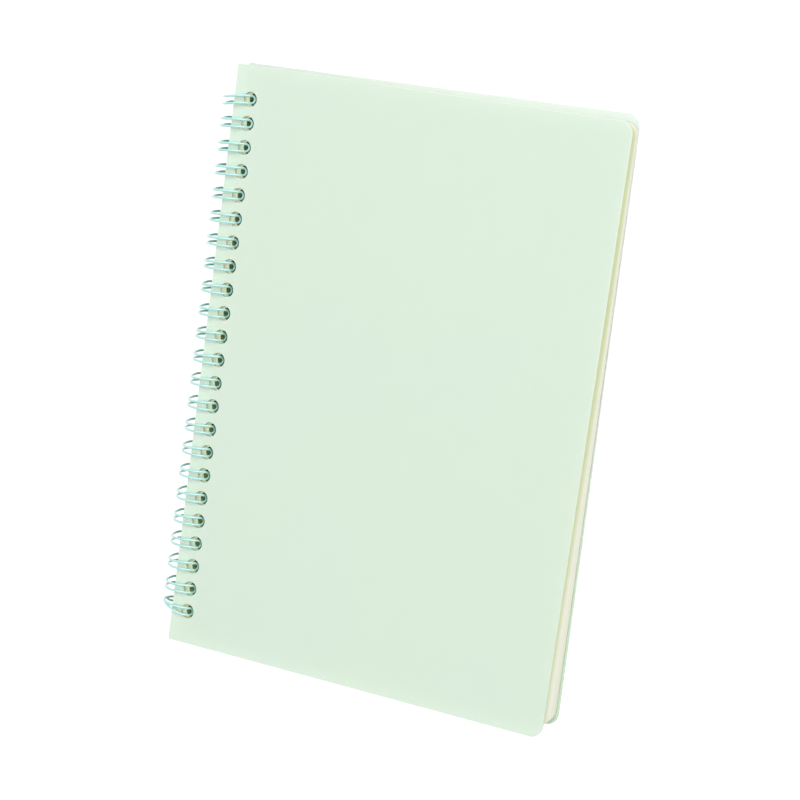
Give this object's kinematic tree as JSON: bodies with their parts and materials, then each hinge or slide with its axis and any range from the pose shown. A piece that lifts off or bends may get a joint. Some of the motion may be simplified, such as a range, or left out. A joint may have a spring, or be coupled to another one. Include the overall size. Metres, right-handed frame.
{
  "type": "spiral notebook",
  "caption": "Closed A5 notebook with frosted translucent plastic covers on a block of cream pages, held by a twin-loop wire along the spine; both covers swing open",
  "frame": {"origin": "middle of the bounding box in X and Y, at the wire's lowest point in Z", "axes": "+X from the spine to the fore-edge, +Y up the spine to the head, +Z out of the front cover"},
  "size_m": [0.155, 0.2124, 0.0158],
  "materials": {
    "frosted_cover": "frosted translucent polypropylene sheet, pale green",
    "pages": "uncoated cream writing paper",
    "coated_wire": "steel wire with a smooth mint coating"
  },
  "bodies": {
    "pages": {"page_block": "pages", "binding_wire": "coated_wire"},
    "front": {"front_cover": "frosted_cover"},
    "back": {"back_cover": "frosted_cover"}
  },
  "joints": [
    {"name": "front_cover_hinge", "type": "hinge", "parent": "pages", "child": "front", "pos_m": [-0.07031, -0.00065, 0.00903], "axis": [0, -1, 0], "range_deg": [0, 180]},
    {"name": "back_cover_hinge", "type": "hinge", "parent": "pages", "child": "back", "pos_m": [-0.07031, -0.00065, 0.00683], "axis": [-0.0043, 1, 0], "range_deg": [0, 180]}
  ]
}
